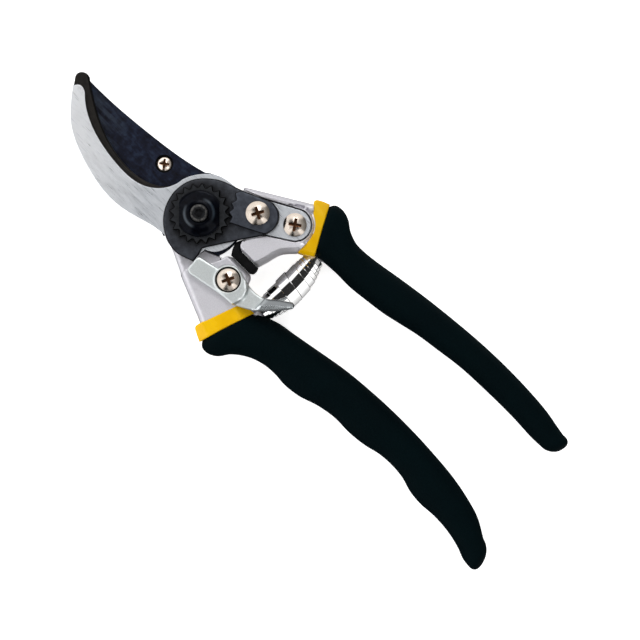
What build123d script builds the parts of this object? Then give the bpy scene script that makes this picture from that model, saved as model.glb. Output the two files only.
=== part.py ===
from build123d import *
import os

# Bypass pruner, lying flat and latched shut.  The pivot axis is the Z axis, +X runs to the hook's
# tip, the handles run to -X, and z = 0 is the plane that the bolt head and both grips rest on.

# ---- stack heights on the pivot, from the table up ----
head_t = 2.6            # bolt head
washer_z = 2.6
washer_t = 0.7
arm_z = 3.4             # lower arm of the blade handle
blade_z = 8.4           # cutting blade
blade_t = 3.4
hook_z = 11.9           # hook, 0.1 above the blade
hook_t = 4.0
ledge_drop = 1.0        # depth of the hook's dark ledge below its ground face
plate_z = hook_z + hook_t       # lock plate
plate_t = 1.5
keeper_z = plate_z + plate_t    # toothed keeper and the nut's toothed rim
keeper_t = 2.2
nut_top = 22.6
bolt_top = 23.3

# ---- handles ----
frame_z = 1.5           # underside of both frames
frame_a_top = 16.6      # claw and flange of the hook handle
frame_b_top = 15.8      # top face of the blade handle, just under the thumb latch
latch_z = 15.9
latch_t = 3.6
grip_t = 17.0
collar_z = 0.6
collar_t = 15.2
grip_mid = grip_t / 2
grip_edge = 2.0         # bevel of the grips' long rims
core_w = 8.0            # core of the frame inside the grip
core_t = 8.0

# ---- radii about the pivot ----
bolt_r = 4.95
bore_r = 5.0
thread_r = 3.0
frame_clear = 15.7      # the hook handle's frame stays outside this
stop_clear = 16.9       # the blade handle's top body stays outside this

# ---- screw heads and centres ----
dome_r = 7.5            # radius of the domed heads
small_dome_r = 4.6
segment_at = (-13.9, -14.0)
tang_at = (-25.4, -20.2)
latch_at = (-22.6, 8.95)
blade_screw_at = (21.2, -3.5)

os.makedirs("parts", exist_ok=True)


def at(point, z):
    """Location at a plan point and a height."""
    return Location((point[0], point[1], z))


def cross_recess(point, z, turn, span=4.6, width=1.15, depth=1.5):
    """Tapered cross cutter with its mouth at a plan point and height, turned about Z."""
    arms = Rectangle(span, width) + Rectangle(width, span)
    return at(point, z) * Rot(0, 0, turn) * extrude(arms, amount=-depth, taper=12)


# ---- plan outlines shared by more than one piece ----
with BuildSketch() as tang_plan:
    with Locations(tang_at):
        Circle(5.3)
    with BuildLine():
        Polyline((-28.27, -15.74), (-10, -4), (-3, -6), (-5, -15.0), (-22.8, -24.8), close=True)
    make_face()

with BuildSketch() as lock_plan:
    with BuildLine():
        Spline((-4.5, -15.9), (4.5, -12.2), (10.5, -5.5), (11.6, 0.5), (8.9, 8.5), (3.4, 13.3),
               (-3.0, 15.0), (-9.8, 13.1))
        Polyline((-9.8, 13.1), (-9.5, 10.3), (-8.8, 7.6))
        Spline((-8.8, 7.6), (-11.5, 3.4), (-16.9, -4.9), (-20.3, -9.9))
        ThreePointArc((-20.3, -9.9), (-21.0, -16.6), (-15.2, -20.3))
        Line((-15.2, -20.3), (-4.5, -15.9))
    make_face()

with BuildSketch() as keeper_plan:
    with BuildLine():
        Polyline((-9.1, -4.8), (-8.6, -6.9), (-6.5, -7.3), (-6.8, -9.4), (-4.9, -10.0),
                 (-5.5, -12.1), (-3.5, -13.4), (-4.4, -15.6), (-14.9, -20.3))
        ThreePointArc((-14.9, -20.3), (-20.5, -17.2), (-20.6, -10.6))
        Spline((-20.6, -10.6), (-14.6, -7.5), (-9.1, -4.8))
    make_face()

with BuildSketch() as blade_plan:
    with Locations((-0.4, 0)):
        Circle(14.8)
    with BuildLine():
        Polyline((-16, 4.85), (4, 12.9), (4, 16), (-16, 16), close=True)
    make_face(mode=Mode.SUBTRACT)
    with BuildLine():
        Spline((5.0, -12.6), (13.6, -10.1), (31.8, -7.2), (50.0, -5.7), (59.6, -5.6))
        Line((59.6, -5.6), (60.6, -4.7))
        Spline((60.6, -4.7), (54.0, 2.4), (44.0, 8.2), (34.0, 10.9), (22.0, 11.8), (4.0, 12.9))
        Line((4.0, 12.9), (5.0, -12.6))
    make_face()

with BuildSketch() as frame_a_plan:
    with BuildLine():
        Line((-4, -4), (-15.6, -4.4))
        Line((-15.6, -4.4), (-16.5, -4.2))
        Spline((-16.5, -4.2), (-17.1, -2.3), (-18.6, -1.0))
        Line((-18.6, -1.0), (-26.3, -1.0))
        Spline((-26.3, -1.0), (-27.3, -4.5), (-28.9, -9.8), (-32.5, -14.0))
        Line((-32.5, -14.0), (-32.3, -18.9))
        ThreePointArc((-32.3, -18.9), (-31.0, -24.2), (-27.7, -26.8))
        Polyline((-27.7, -26.8), (-24.7, -29.7), (-5.2, -17.9))
        ThreePointArc((-5.2, -17.9), (-4.2, -17.2), (-4.6, -16.2))
        Polyline((-4.6, -16.2), (-3.0, -12), (-4, -4))
    make_face()
    Circle(frame_clear, mode=Mode.SUBTRACT)

# ---- hook: counter blade with hub and tang ----
with BuildPart() as hook_blade:
    with BuildSketch(Plane.XY.offset(hook_z)):
        with BuildLine():
            Spline((3.4, 13.5), (10.0, 14.5), (18.0, 16.75), (27.3, 17.6), (36.4, 16.1),
                   (45.5, 13.2), (52.3, 9.6), (59.1, 2.7), (63.2, -2.9))
            Spline((63.2, -2.9), (63.4, -5.0), (61.6, -6.5), (59.4, -5.9))
            Spline((59.4, -5.9), (54.5, -2.7), (50.0, 0.0), (40.9, 4.1), (30.9, 6.1), (22.0, 5.4),
                   (15.9, 2.3), (12.9, -1.8))
            Polyline((12.9, -1.8), (0, 0), (3.4, 13.5))
        make_face()
        with BuildLine():
            Spline((3.4, 13.5), (-1.0, 14.8), (-6.0, 13.4), (-9.2, 10.0), (-9.5, 7.3))
            Spline((-9.5, 7.3), (-12.4, 5.7), (-14.1, 3.0), (-14.8, -1.0), (-13.0, -8.0),
                   (-6.0, -14.0), (-2.5, -15.0), (0, -14.9), (5.0, -13.6), (9.6, -9.6), (12.0, -5.6),
                   (12.9, -1.8))
            Polyline((12.9, -1.8), (0, 0), (3.4, 13.5))
        make_face()
        add(tang_plan.sketch)
    extrude(amount=hook_t)
    # dark ledge: the ground front face stops short of the inner edge and of the tip
    with BuildSketch(Plane.XY.offset(plate_z - ledge_drop)):
        with BuildLine():
            Spline((13.3, -1.6), (15.9, 3.0), (20.9, 6.6), (30.9, 7.8), (40.9, 6.4), (50.0, 3.2),
                   (56.4, -1.4))
            Spline((56.4, -1.4), (58.5, -2.5), (60.2, -2.3), (61.5, -0.8), (64.0, 3.0))
            Polyline((64.0, 3.0), (70.0, 3.0), (70.0, -12.0), (13.3, -12.0), (13.3, -1.6))
        make_face()
    extrude(amount=5, mode=Mode.SUBTRACT)
    # bevels along the ledge's inner rim and along the ground face
    land_edges = edges().filter_by_position(Axis.Z, plate_z - 0.01, plate_z + 0.01)
    chamfer(land_edges.sort_by_distance((36, 7.5, plate_z))[0], length=0.35)
    ledge_z = plate_z - ledge_drop
    ledge_edges = edges().filter_by_position(Axis.Z, ledge_z - 0.01, ledge_z + 0.01)
    tip_edges = ledge_edges.filter_by(lambda e: e.center().X > 61)
    inner_edge = ledge_edges.sort_by_distance((36, 5, ledge_z))[0]
    chamfer([inner_edge] + tip_edges, length=0.5)
    Cylinder(bore_r, 60, mode=Mode.SUBTRACT)
    with Locations(segment_at, tang_at):
        Cylinder(2.6, 60, mode=Mode.SUBTRACT)
hook_blade.part.label = "hook_blade"
export_step(hook_blade.part, "parts/hook_blade.step")

# ---- lock plate with the lobe that the thumb latch catches ----
with BuildPart() as lock_plate:
    with BuildSketch(Plane.XY.offset(plate_z)):
        add(lock_plan.sketch)
    extrude(amount=plate_t)
    chamfer(faces().sort_by(Axis.Z)[-1].edges(), length=0.35)
    Cylinder(bore_r, 60, mode=Mode.SUBTRACT)
    with Locations(segment_at):
        Cylinder(2.6, 60, mode=Mode.SUBTRACT)
lock_plate.part.label = "lock_plate"
export_step(lock_plate.part, "parts/lock_plate.step")

# ---- toothed keeper of the adjusting nut ----
with BuildPart() as toothed_segment:
    with BuildSketch(Plane.XY.offset(keeper_z)):
        add(keeper_plan.sketch)
    extrude(amount=keeper_t)
    chamfer(faces().sort_by(Axis.Z)[-1].edges(), length=0.25)
    with Locations(segment_at):
        Cylinder(2.6, 60, mode=Mode.SUBTRACT)
toothed_segment.part.label = "toothed_segment"
export_step(toothed_segment.part, "parts/toothed_segment.step")

# ---- adjusting nut: toothed rim, dome and two flats ----
tooth_count = 20
rim_root_r = 9.0
rim_tip_r = 10.6
with BuildPart() as adjusting_nut:
    with BuildSketch(Plane.XY.offset(keeper_z)):
        Circle(rim_root_r)
        with PolarLocations(0, tooth_count, start_angle=93.5):
            Polygon((rim_root_r - 0.6, -1.5), (rim_tip_r, -0.12), (rim_tip_r, 0.12),
                    (rim_root_r - 0.6, 1.5), align=None)
    extrude(amount=keeper_t)
    with BuildSketch(Plane.XZ):
        with BuildLine():
            Line((0, keeper_z + 1.0), (8.0, keeper_z + 1.0))
            Line((8.0, keeper_z + 1.0), (8.0, keeper_z + 3.1))
            ThreePointArc((8.0, keeper_z + 3.1), (6.9, keeper_z + 4.6), (5.2, nut_top))
            Line((5.2, nut_top), (0, nut_top))
            Line((0, nut_top), (0, keeper_z + 1.0))
        make_face()
    revolve(axis=Axis.Z)
    with BuildSketch(Plane.XY.offset(keeper_z + keeper_t)):
        with PolarLocations(0, 2, start_angle=45):
            with Locations((6.8 + 5.0, 0)):
                Rectangle(10.0, 24.0)
    extrude(amount=6, mode=Mode.SUBTRACT)
    with BuildSketch(Plane.XY.offset(nut_top - 0.8)):
        Circle(5.0)
        Circle(4.4, mode=Mode.SUBTRACT)
    extrude(amount=2, mode=Mode.SUBTRACT)
    Cylinder(thread_r + 0.05, 60, mode=Mode.SUBTRACT)
adjusting_nut.part.label = "adjusting_nut"
export_step(adjusting_nut.part, "parts/adjusting_nut.step")

# ---- pivot bolt and its washer ----
with BuildPart() as pivot_bolt:
    with Locations((0, 0, head_t / 2)):
        Cylinder(8.0, head_t)
    chamfer(faces().sort_by(Axis.Z)[0].edges(), length=0.7)
    with BuildSketch(Plane.XY.offset(head_t)):
        Circle(bolt_r)
    extrude(amount=keeper_z - 0.3 - head_t)
    with BuildSketch(Plane.XY.offset(keeper_z - 0.3)):
        Circle(thread_r)
    extrude(amount=bolt_top - keeper_z + 0.3)
    chamfer(faces().sort_by(Axis.Z)[-1].edges(), length=0.5)
    with BuildSketch(Plane.XY.offset(bolt_top)):
        RegularPolygon(1.55, 6)
    extrude(amount=-1.6, mode=Mode.SUBTRACT)
    with BuildSketch():
        Rectangle(1.4, 12.0)
    extrude(amount=1.0, mode=Mode.SUBTRACT)
pivot_bolt.part.label = "pivot_bolt"
export_step(pivot_bolt.part, "parts/pivot_bolt.step")

with BuildPart() as pivot_washer:
    with BuildSketch(Plane.XY.offset(washer_z)):
        Circle(9.2)
        Circle(bore_r, mode=Mode.SUBTRACT)
    extrude(amount=washer_t)
pivot_washer.part.label = "pivot_washer"
export_step(pivot_washer.part, "parts/pivot_washer.step")

# ---- cutting blade ----
with BuildPart() as cutting_blade:
    with BuildSketch(Plane.XY.offset(blade_z)):
        add(blade_plan.sketch)
    extrude(amount=blade_t)
    # ground bevel of the cutting edge, on the side away from the hook
    under_edges = edges().filter_by_position(Axis.Z, blade_z - 0.01, blade_z + 0.01)
    chamfer(under_edges.sort_by_distance((36.6, 10.4, blade_z))[0], length=2.6, length2=4.0)
    Cylinder(bore_r, 60, mode=Mode.SUBTRACT)
    with Locations(at(blade_screw_at, 0)):
        Cylinder(1.55, 60, mode=Mode.SUBTRACT)
    with BuildSketch(Plane.XY.offset(blade_z + blade_t)):
        with Locations(blade_screw_at):
            Circle(3.1)
    extrude(amount=-2.0, mode=Mode.SUBTRACT)
cutting_blade.part.label = "cutting_blade"
export_step(cutting_blade.part, "parts/cutting_blade.step")

# ---- screws ----
latch_top = latch_z + latch_t
blade_screw_recess = cross_recess(blade_screw_at, blade_z + blade_t, 38, 3.6, 0.95, 1.2)
segment_recess = cross_recess(segment_at, keeper_z + keeper_t + 1.8, 62)
tang_recess = cross_recess(tang_at, plate_z + 1.8, 35)
latch_recess = cross_recess(latch_at, latch_top + 0.3, 64)

with BuildPart() as blade_screw:
    with Locations(at(blade_screw_at, blade_z + 1.4 + 1.0)):
        Cylinder(2.5, 2.0)
    with Locations(at(blade_screw_at, blade_z + blade_t - small_dome_r)):
        Sphere(small_dome_r, mode=Mode.INTERSECT)
    with Locations(at(blade_screw_at, (arm_z + 1.0 + blade_z + 2.0) / 2)):
        Cylinder(1.5, blade_z + 2.0 - arm_z - 1.0)
    add(blade_screw_recess, mode=Mode.SUBTRACT)
blade_screw.part.label = "blade_screw"
export_step(blade_screw.part, "parts/blade_screw.step")

with BuildPart() as segment_screw:
    with Locations(at(segment_at, keeper_z + keeper_t + 0.9)):
        Cylinder(4.05, 1.8)
    with Locations(at(segment_at, keeper_z + keeper_t + 1.8 - dome_r)):
        Sphere(dome_r, mode=Mode.INTERSECT)
    with Locations(at(segment_at, (4.0 + keeper_z + keeper_t + 0.5) / 2)):
        Cylinder(2.55, keeper_z + keeper_t + 0.5 - 4.0)
    add(segment_recess, mode=Mode.SUBTRACT)
segment_screw.part.label = "segment_screw"
export_step(segment_screw.part, "parts/segment_screw.step")

with BuildPart() as tang_screw:
    with Locations(at(tang_at, plate_z + 0.9)):
        Cylinder(4.0, 1.8)
    with Locations(at(tang_at, plate_z + 1.8 - dome_r)):
        Sphere(dome_r, mode=Mode.INTERSECT)
    with Locations(at(tang_at, (4.0 + plate_z + 0.5) / 2)):
        Cylinder(2.55, plate_z + 0.5 - 4.0)
    add(tang_recess, mode=Mode.SUBTRACT)
tang_screw.part.label = "tang_screw"
export_step(tang_screw.part, "parts/tang_screw.step")

with BuildPart() as latch_screw:
    with Locations(at(latch_at, latch_top - 0.45)):
        Cylinder(3.85, 1.5)
    with Locations(at(latch_at, latch_top + 0.3 - dome_r)):
        Sphere(dome_r, mode=Mode.INTERSECT)
    with Locations(at(latch_at, (4.0 + latch_top - 0.9) / 2)):
        Cylinder(2.5, latch_top - 0.9 - 4.0)
    add(latch_recess, mode=Mode.SUBTRACT)
latch_screw.part.label = "latch_screw"
export_step(latch_screw.part, "parts/latch_screw.step")

# ---- frame of the hook handle ----
with BuildPart() as hook_handle_frame:
    with BuildSketch(Plane.XY.offset(frame_z)):
        add(frame_a_plan.sketch)
    extrude(amount=frame_a_top - frame_z)
    rim = faces().sort_by(Axis.Z)[-1].edges().filter_by(GeomType.CIRCLE, reverse=True)
    chamfer(rim.filter_by(lambda e: e.length > 7), length=0.6)
    # pocket of the tang, open towards the hub
    with BuildSketch(Plane.XY.offset(hook_z)):
        add(tang_plan.sketch)
        offset(amount=0.45)
    extrude(amount=10, mode=Mode.SUBTRACT)
    # room for the lock plate's wing
    with BuildSketch(Plane.XY.offset(plate_z - 0.2)):
        with BuildLine():
            Polyline((-21.2, -10.5), (-17.2, -4.6), (-12.5, 2.8), (-2, 2), (-2, -14), (-4.3, -16.35),
                     (-15.3, -20.8), (-21.6, -17.4), close=True)
        make_face()
    extrude(amount=10, mode=Mode.SUBTRACT)
    with BuildSketch(Plane.XY.offset(4.0)):
        with Locations(segment_at, tang_at):
            Circle(2.6)
    extrude(amount=20, mode=Mode.SUBTRACT)
    # core inside the grip
    with BuildSketch(Plane.XY.offset(grip_mid - core_t / 2)):
        with BuildLine():
            Spline((-31.5, -21.8), (-40.0, -24.2), (-50.0, -24.9), (-68.0, -27.0), (-90.0, -30.3),
                   (-120.0, -31.9))
        trace(line_width=core_w)
    extrude(amount=core_t)
    # boss and peg of the spring
    with BuildSketch(Plane((-39.5, -18.2, grip_mid), z_dir=(0, -1, 0))):
        Circle(4.4)
    extrude(amount=3.0)
    with BuildSketch(Plane((-39.5, -18.2, grip_mid), z_dir=(0, 1, 0))):
        Circle(2.7)
    extrude(amount=5.0)
hook_handle_frame.part.label = "hook_handle_frame"
export_step(hook_handle_frame.part, "parts/hook_handle_frame.step")

# ---- rubber bumper on the claw ----
with BuildPart() as rubber_bumper:
    with BuildSketch(Plane.XY.offset(3.0)):
        with BuildLine():
            Polyline((-18.0, -3.0), (-26.6, -2.0), (-27.0, 0.2), (-26.9, 1.6), (-26.0, 2.3),
                     (-17.3, 2.3))
            Spline((-17.3, 2.3), (-15.9, 0.2), (-15.4, -1.9), (-16.3, -4.1))
            Line((-16.3, -4.1), (-18.0, -3.0))
        make_face()
        add(frame_a_plan.sketch, mode=Mode.SUBTRACT)
    extrude(amount=12.4)
rubber_bumper.part.label = "rubber_bumper"
export_step(rubber_bumper.part, "parts/rubber_bumper.step")

# ---- frame of the blade handle ----
with BuildPart() as blade_handle_frame:
    with BuildSketch(Plane.XY.offset(frame_z)):
        with BuildLine():
            Polyline((-26.0, 26.2), (-9.8, 19.5), (-9.8, 11.0), (-15.0, 5.0), (-16.6, 3.9),
                     (-17.8, 2.6), (-26.2, 2.6), (-27.3, 3.6), (-27.9, 5.0), (-29.8, 8.2),
                     (-30.9, 11.2), close=True)
        make_face()
        Circle(stop_clear, mode=Mode.SUBTRACT)
    extrude(amount=frame_b_top - frame_z)
    chamfer(faces().sort_by(Axis.Z)[-1].edges().sort_by(Axis.Y)[-1], length=0.9)
    # arm under the blade, with a wall beside the blade's hub
    with BuildSketch(Plane.XY.offset(arm_z)):
        Circle(13.6)
        with BuildLine():
            Polyline((-20.0, 21.5), (-9.8, 19.5), (-1.8, 15.5), (3.6, 13.3), (0, 0), (-12.0, 3.0),
                     (-14.6, 6.2), (-15.8, 7.5), (-20.0, 9.0), close=True)
        make_face()
        with BuildLine():
            Polyline((4.0, -12.7), (13.6, -9.9), (20.0, -8.6), (25.0, -7.6))
            ThreePointArc((25.0, -7.6), (28.6, -3.4), (24.4, 0.8))
            Polyline((24.4, 0.8), (14.0, 4.0), (6.0, 11.0), (4.0, -12.7))
        make_face()
    extrude(amount=blade_z + blade_t - 0.1 - arm_z)
    with BuildSketch(Plane.XY.offset(blade_z)):
        add(blade_plan.sketch)
        offset(amount=0.15)
    extrude(amount=blade_t, mode=Mode.SUBTRACT)
    # core inside the grip
    with BuildSketch(Plane.XY.offset(grip_mid - core_t / 2)):
        with BuildLine():
            Spline((-26.0, 17.5), (-38.0, 17.2), (-60.0, 12.8), (-84.0, 9.0), (-104.0, 7.9),
                   (-124.0, 9.4))
        trace(line_width=core_w)
    extrude(amount=core_t)
    # boss and peg of the spring
    with BuildSketch(Plane((-39.5, 10.6, grip_mid), z_dir=(0, 1, 0))):
        Circle(4.4)
    extrude(amount=4.0)
    with BuildSketch(Plane((-39.5, 10.6, grip_mid), z_dir=(0, -1, 0))):
        Circle(2.7)
    extrude(amount=5.0)
    Cylinder(bore_r, 60, mode=Mode.SUBTRACT)
    with Locations(at(latch_at, 0)):
        Cylinder(2.55, 60, mode=Mode.SUBTRACT)
    with Locations(at(blade_screw_at, 0)):
        Cylinder(1.55, 60, mode=Mode.SUBTRACT)
blade_handle_frame.part.label = "blade_handle_frame"
export_step(blade_handle_frame.part, "parts/blade_handle_frame.step")

# ---- thumb latch ----
with BuildPart() as thumb_latch:
    with BuildSketch(Plane.XY.offset(latch_z)):
        with BuildLine():
            Spline((-29.7, 13.9), (-24.5, 14.35), (-16.0, 16.0), (-11.8, 16.8))
            Spline((-11.8, 16.8), (-10.4, 16.1), (-10.2, 14.8))
            Polyline((-10.2, 14.8), (-9.8, 11.2), (-10.3, 10.35), (-17.4, 8.7), (-19.0, 5.2),
                     (-26.4, 4.9))
            Spline((-26.4, 4.9), (-31.0, 5.7), (-34.9, 5.1), (-40.0, 1.4), (-43.6, -1.0))
            Spline((-43.6, -1.0), (-45.1, 0.0), (-44.3, 1.6))
            Spline((-44.3, 1.6), (-40.6, 6.2), (-35.0, 11.0), (-29.7, 13.9))
        make_face()
        with Locations(latch_at):
            Circle(5.1)
    extrude(amount=7.0)
    # side profile: flat over the frame, lever raised towards its tip
    with BuildSketch(Plane.XZ.offset(-30)):
        with BuildLine():
            Polyline((-9.0, latch_z), (-34.5, latch_z), (-45.5, latch_z + 1.2),
                     (-45.5, latch_top + 1.9), (-38.5, latch_top + 1.4), (-35.5, latch_top),
                     (-9.0, latch_top), close=True)
        make_face()
    extrude(amount=60, mode=Mode.INTERSECT)
    # underside relieved where the lobe of the lock plate passes
    with Locations((0, 0, keeper_z + 0.2 - 5)):
        Cylinder(stop_clear, 10, mode=Mode.SUBTRACT)
    # counterbore and bore of its screw
    with BuildSketch(Plane.XY.offset(latch_top - 1.25)):
        with Locations(latch_at):
            Circle(4.3)
    extrude(amount=3.0, mode=Mode.SUBTRACT)
    with Locations(at(latch_at, 0)):
        Cylinder(2.55, 60, mode=Mode.SUBTRACT)
thumb_latch.part.label = "thumb_latch"
export_step(thumb_latch.part, "parts/thumb_latch.step")

# ---- collars ----
with BuildPart() as hook_handle_collar:
    with BuildSketch(Plane.XY.offset(collar_z)):
        with BuildLine():
            Polyline((-37.7, -17.2), (-35.0, -15.4), (-32.6, -14.1), (-20.0, -20.0),
                     (-24.2, -30.4), (-24.4, -31.4), (-28.7, -33.7), close=True)
        make_face()
        add(frame_a_plan.sketch, mode=Mode.SUBTRACT)
        with Locations(tang_at):
            Circle(7.1, mode=Mode.SUBTRACT)
    extrude(amount=collar_t)
    add(hook_handle_frame.part, mode=Mode.SUBTRACT)
    with BuildSketch(Plane((-39.5, -18.2, grip_mid), z_dir=(0, 1, 0))):
        Circle(6.2)
    extrude(amount=12.0, mode=Mode.SUBTRACT)
hook_handle_collar.part.label = "hook_handle_collar"
export_step(hook_handle_collar.part, "parts/hook_handle_collar.step")

with BuildPart() as blade_handle_collar:
    with BuildSketch(Plane.XY.offset(collar_z)):
        with BuildLine():
            Polyline((-25.7, 27.9), (-26.1, 26.2), (-30.9, 12.6), (-36.75, 10.8), (-30.4, 31.0),
                     close=True)
        make_face()
    extrude(amount=collar_t)
    add(blade_handle_frame.part, mode=Mode.SUBTRACT)
blade_handle_collar.part.label = "blade_handle_collar"
export_step(blade_handle_collar.part, "parts/blade_handle_collar.step")

# ---- grips ----
with BuildPart() as hook_handle_grip:
    with BuildSketch():
        with BuildLine():
            Line((-28.7, -33.8), (-37.8, -17.3))
            Spline((-37.8, -17.3), (-50.0, -18.7), (-68.2, -20.4), (-90.3, -24.7), (-118.0, -26.7),
                   (-139.6, -26.2))
            Spline((-139.6, -26.2), (-144.4, -31.0), (-140.5, -34.7))
            Spline((-140.5, -34.7), (-121.2, -37.1), (-99.1, -36.9), (-75.6, -34.6),
                   (-50.0, -30.8), (-34.0, -35.6), (-28.7, -33.8))
        make_face()
    extrude(amount=grip_t)
    long_rims = faces().filter_by(Axis.Z).edges().filter_by(lambda e: e.length > 60)
    chamfer(long_rims, length=grip_edge)
    add(hook_handle_frame.part, mode=Mode.SUBTRACT)
    with BuildSketch(Plane((-39.5, -18.2, grip_mid), z_dir=(0, 1, 0))):
        Circle(6.2)
    extrude(amount=12.0, mode=Mode.SUBTRACT)
hook_handle_grip.part.label = "hook_handle_grip"
export_step(hook_handle_grip.part, "parts/hook_handle_grip.step")

with BuildPart() as blade_handle_grip:
    with BuildSketch():
        with BuildLine():
            Line((-36.85, 10.7), (-30.45, 31.15))
            Spline((-30.45, 31.15), (-34.4, 32.3), (-41.0, 26.7), (-52.1, 21.0), (-60.9, 21.0),
                   (-81.5, 16.8), (-88.8, 16.9), (-106.5, 14.4), (-122.6, 16.9), (-132.0, 16.5),
                   (-149.9, 20.3))
            Spline((-149.9, 20.3), (-152.9, 16.3), (-147.6, 10.4))
            Spline((-147.6, 10.4), (-125.6, 2.6), (-99.1, 1.0), (-72.6, 2.6), (-52.1, 6.2),
                   (-36.85, 10.7))
        make_face()
    extrude(amount=grip_t)
    long_rims = faces().filter_by(Axis.Z).edges().filter_by(lambda e: e.length > 60)
    chamfer(long_rims, length=grip_edge)
    add(blade_handle_frame.part, mode=Mode.SUBTRACT)
    with BuildSketch(Plane((-39.5, 10.6, grip_mid), z_dir=(0, -1, 0))):
        Circle(6.2)
    extrude(amount=12.0, mode=Mode.SUBTRACT)
blade_handle_grip.part.label = "blade_handle_grip"
export_step(blade_handle_grip.part, "parts/blade_handle_grip.step")

# ---- double volute spring, as the stepped barrel that its bands fill ----
spring_x = -39.5
spring_low = -18.15
spring_high = 10.55
band_steps = ((14.35, 4.1), (11.2, 4.5), (8.2, 4.95), (5.4, 5.35), (2.6, 5.75))
spring_mid = (spring_low + spring_high) / 2
with BuildPart() as volute_spring:
    for half, radius in band_steps:
        with BuildSketch(Plane((spring_x, spring_mid - half, grip_mid), z_dir=(0, 1, 0))):
            Circle(radius)
        extrude(amount=2 * half)
    with BuildSketch(Plane((spring_x, spring_low - 1, grip_mid), z_dir=(0, 1, 0))):
        Circle(2.9)
    extrude(amount=spring_high - spring_low + 2, mode=Mode.SUBTRACT)
volute_spring.part.label = "volute_spring"
export_step(volute_spring.part, "parts/volute_spring.step")
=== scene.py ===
import math

import bpy
import numpy as np
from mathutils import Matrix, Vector
from mathutils.geometry import delaunay_2d_cdt


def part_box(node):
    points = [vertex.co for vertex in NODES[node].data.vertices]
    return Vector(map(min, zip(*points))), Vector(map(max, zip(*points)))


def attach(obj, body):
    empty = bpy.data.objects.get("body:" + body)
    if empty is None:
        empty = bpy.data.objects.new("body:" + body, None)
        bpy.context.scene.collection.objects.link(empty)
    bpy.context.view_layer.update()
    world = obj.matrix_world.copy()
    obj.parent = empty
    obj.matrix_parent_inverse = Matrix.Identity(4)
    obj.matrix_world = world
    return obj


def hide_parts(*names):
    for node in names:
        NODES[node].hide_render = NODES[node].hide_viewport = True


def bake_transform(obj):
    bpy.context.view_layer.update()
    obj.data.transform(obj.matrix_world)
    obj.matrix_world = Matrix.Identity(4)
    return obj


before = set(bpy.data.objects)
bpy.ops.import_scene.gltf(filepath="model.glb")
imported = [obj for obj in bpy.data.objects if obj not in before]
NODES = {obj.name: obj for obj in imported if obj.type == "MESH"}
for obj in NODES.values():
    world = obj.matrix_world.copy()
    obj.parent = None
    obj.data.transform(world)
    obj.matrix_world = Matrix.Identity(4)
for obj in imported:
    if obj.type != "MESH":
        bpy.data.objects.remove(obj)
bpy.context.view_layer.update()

# Lengths below are in millimetres in the row frame, and meshes are written in metres.
PIVOT = (0.0, 0.0)
LATCH = (-22.6, 8.95)
TANG = (-25.4, -20.2)
SEGMENT = (-13.9, -14.0)
BLADE_SCREW = (21.2, -3.5)
BLADE_RUBBED = (50, 6)  # middle of the rubbed area near the blade's tip
SPRING_X = -39.5
SPRING_MID = -3.8
SPRING_RADIUS_STEPS = (5.6, 5.0, 4.65, 4.32, 4.0, 3.7, 3.4)
SPRING_REACH_STEPS = (0, 4.3, 6.2, 7.6, 9.0, 10.3, 12.1)
GRIP_MID = 8.5          # height of the middle of grips, bosses and spring
CASTING_LOW = 1.5
ARM_LOW, ARM_TOP = 3.4, 8.3     # arm under the blade
WALL_TOP = 11.7         # wall beside the hub, just under the hook
PLATE_LOW, PLATE_TOP = 15.9, 17.4
KEEPER_TOP = 19.55
NUT_RIM_TOP = 19.6
LATCH_LOW, LATCH_TOP = 15.9, 19.45
HUB_CLEAR = 16.0        # the hook handle's casting keeps outside this
BUMPER_LOW, BUMPER_TOP = 3.1, 15.3
COLLAR_LOW, COLLAR_TOP = 0.6, 15.8


# ---- outlines ----
def smooth(points, step=0.45):
    """Points along a smooth curve through the given ones."""
    p = np.array(points, float)
    gap = np.linalg.norm(np.diff(p, axis=0), axis=1)
    slope = np.diff(p, axis=0) / gap[:, None]
    inner = (slope[:-1] * gap[1:, None] + slope[1:] * gap[:-1, None]) / (gap[:-1] + gap[1:])[:, None]
    tangent = np.vstack([slope[:1], inner, slope[-1:]])
    rows = []
    for i in range(len(p) - 1):
        n = max(1, int(round(gap[i] / step)))
        t = (np.arange(n) / n)[:, None]
        rows.append((2 * t**3 - 3 * t**2 + 1) * p[i] + (t**3 - 2 * t**2 + t) * gap[i] * tangent[i]
                    + (3 * t**2 - 2 * t**3) * p[i + 1] + (t**3 - t**2) * gap[i] * tangent[i + 1])
    rows.append(p[-1:])
    return np.vstack(rows)


def line(points, step=0.6):
    """Points along straight runs."""
    p = np.array(points, float)
    rows = []
    for a, b in zip(p[:-1], p[1:]):
        n = max(1, int(round(np.linalg.norm(b - a) / step)))
        rows.append(a + (b - a) * (np.arange(n) / n)[:, None])
    rows.append(p[-1:])
    return np.vstack(rows)


def arc(centre, radius, start, end, step=0.5):
    """Points along an arc, angles in degrees."""
    n = max(4, int(abs(math.radians(end - start)) * radius / step))
    a = np.radians(np.linspace(start, end, n + 1))
    return np.column_stack([centre[0] + radius * np.cos(a), centre[1] + radius * np.sin(a)])


def loop(*runs):
    """One closed outline from runs that follow each other."""
    points = np.vstack(runs)
    kept = [points[0]]
    for p in points[1:]:
        if np.linalg.norm(p - kept[-1]) > 0.05:
            kept.append(p)
    if np.linalg.norm(kept[0] - kept[-1]) < 0.05:
        kept.pop()
    return np.array(kept)


def off_line(points, x, y):
    """Distance from each (x, y) to an open polyline."""
    p = np.array(points, float)
    best = np.full(len(x), 1e9)
    for a, b in zip(p[:-1], p[1:]):
        d = b - a
        t = np.clip(((x - a[0]) * d[0] + (y - a[1]) * d[1]) / (d @ d), 0, 1)
        best = np.minimum(best, np.hypot(x - a[0] - t * d[0], y - a[1] - t * d[1]))
    return best


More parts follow.
